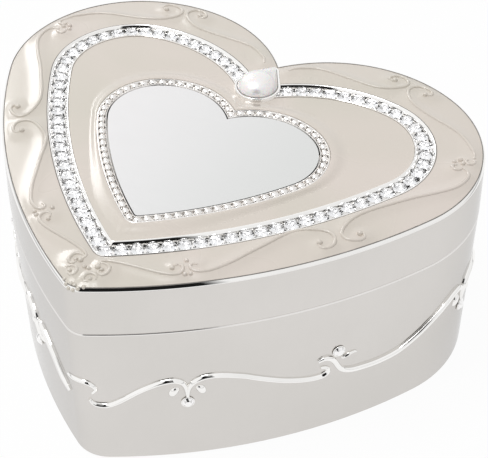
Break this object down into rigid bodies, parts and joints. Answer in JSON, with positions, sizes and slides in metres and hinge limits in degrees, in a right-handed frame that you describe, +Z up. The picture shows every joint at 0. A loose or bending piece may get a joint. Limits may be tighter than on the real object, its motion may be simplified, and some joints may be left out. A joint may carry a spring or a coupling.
{
  "type": "wind-up music box",
  "caption": "Heart-shaped plated music box with a hinged enamelled lid, set stones, a pearl, a trinket well and a pinned-cylinder movement wound by a key underneath.",
  "frame": {"origin": "centre of the whole box's footprint, on the surface it stands on", "axes": "+X across the heart, +Y from its tip to its cleft and hinge, +Z up"},
  "size_m": [0.1106, 0.0978, 0.0532],
  "materials": {
    "silver_plate": "bright silver plating",
    "polished_plate": "polished, bare",
    "ivory_enamel": "pearly ivory enamel",
    "crystal": "cut, foil-backed",
    "pearl": "nacre lustre",
    "velvet": "ivory flocked velvet",
    "clear_window": "clear sheet",
    "grey_steel": "brushed sheet",
    "steel": "bright steel",
    "cast_zinc": "tumbled zinc casting",
    "brass": "turned brass",
    "key_plate": "nickel plated",
    "nylon": "moulded nylon",
    "felt": "felt"
  },
  "bodies": {
    "base": {"base_shell": "silver_plate", "bottom_plate": "grey_steel", "bottom_plate_screws": "steel", "movement_screws": "steel", "flocked_tray": "velvet", "movement_window": "clear_window", "base_hinge_knuckles": "silver_plate", "hinge_pins": "silver_plate", "side_crystals": "crystal", "bedplate": "cast_zinc", "spring_housing": "steel", "spring_cover": "steel", "mainspring": "steel", "comb": "steel", "comb_screws": "steel", "cylinder_bridge": "steel", "bridge_screw": "steel", "governor_bracket": "steel", "bracket_screw": "steel", "stop_lever_pin": "steel"},
    "lid": {"lid_shell": "silver_plate", "border_enamel": "ivory_enamel", "field_enamel": "ivory_enamel", "crystal_channel": "silver_plate", "lid_crystals": "crystal", "bead_frame": "silver_plate", "name_plate": "polished_plate", "pearl": "pearl", "pearl_cup": "silver_plate", "lid_lining": "velvet", "lid_hinge_knuckles": "silver_plate"},
    "cylinder": {"cylinder_drum": "brass", "cylinder_pins": "steel", "cylinder_arbor": "steel", "cylinder_gear": "brass", "great_wheel": "brass"},
    "drive_wheel": {"drive_wheel": "brass", "click_stud": "steel"},
    "click": {"click": "steel"},
    "key": {"winding_arbor": "steel", "ratchet_wheel": "steel", "winding_key": "key_plate"},
    "governor_wheel": {"governor_arbor": "steel", "governor_pinion": "brass", "worm_wheel": "nylon"},
    "governor_worm": {"worm_spindle": "brass", "fly": "nylon"},
    "stop_lever": {"stop_lever": "steel", "stop_pad": "felt"}
  },
  "joints": [
    {"name": "lid_hinge", "type": "hinge", "parent": "base", "child": "lid", "pos_m": [0, 0.04705, 0.038], "axis": [-1, 0, 0], "range_deg": [0, 100]},
    {"name": "cylinder_spin", "type": "hinge", "parent": "base", "child": "cylinder", "pos_m": [-0.0125, 0.0136, 0.02785], "axis": [1, 0, 0], "continuous": true},
    {"name": "drive_spin", "type": "hinge", "parent": "base", "child": "drive_wheel", "pos_m": [0.008, 0.0136, 0.0217], "axis": [0, 0, 1], "continuous": true},
    {"name": "key_wind", "type": "hinge", "parent": "drive_wheel", "child": "key", "pos_m": [0.008, 0.0136, 0.0217], "axis": [0, 0, 1], "continuous": true, "deforming": ["mainspring"]},
    {"name": "click_lift", "type": "hinge", "parent": "drive_wheel", "child": "click", "pos_m": [0.0116, 0.01984, 0.0229], "axis": [0, 0, 1], "range_deg": [0, 12], "stiffness_Nm_per_rad": 0.0002},
    {"name": "governor_spin", "type": "hinge", "parent": "base", "child": "governor_wheel", "pos_m": [-0.026, 0.02192, 0.02305], "axis": [1, 0, 0], "continuous": true},
    {"name": "worm_spin", "type": "hinge", "parent": "base", "child": "governor_worm", "pos_m": [-0.026, 0.02692, 0.02305], "axis": [0, 0, 1], "continuous": true},
    {"name": "stop_lever_swing", "type": "hinge", "parent": "base", "child": "stop_lever", "pos_m": [-0.026, 0.03117, 0.018], "axis": [-1, 0, 0], "range_deg": [0, 7.5]}
  ],
  "couplings": [
    {"joint": "drive_spin", "follows": "cylinder_spin", "ratio": -0.5},
    {"joint": "governor_spin", "follows": "cylinder_spin", "ratio": -3},
    {"joint": "worm_spin", "follows": "cylinder_spin", "ratio": 54},
    {"joint": "stop_lever_swing", "follows": "lid_hinge", "ratio": 0.07}
  ]
}
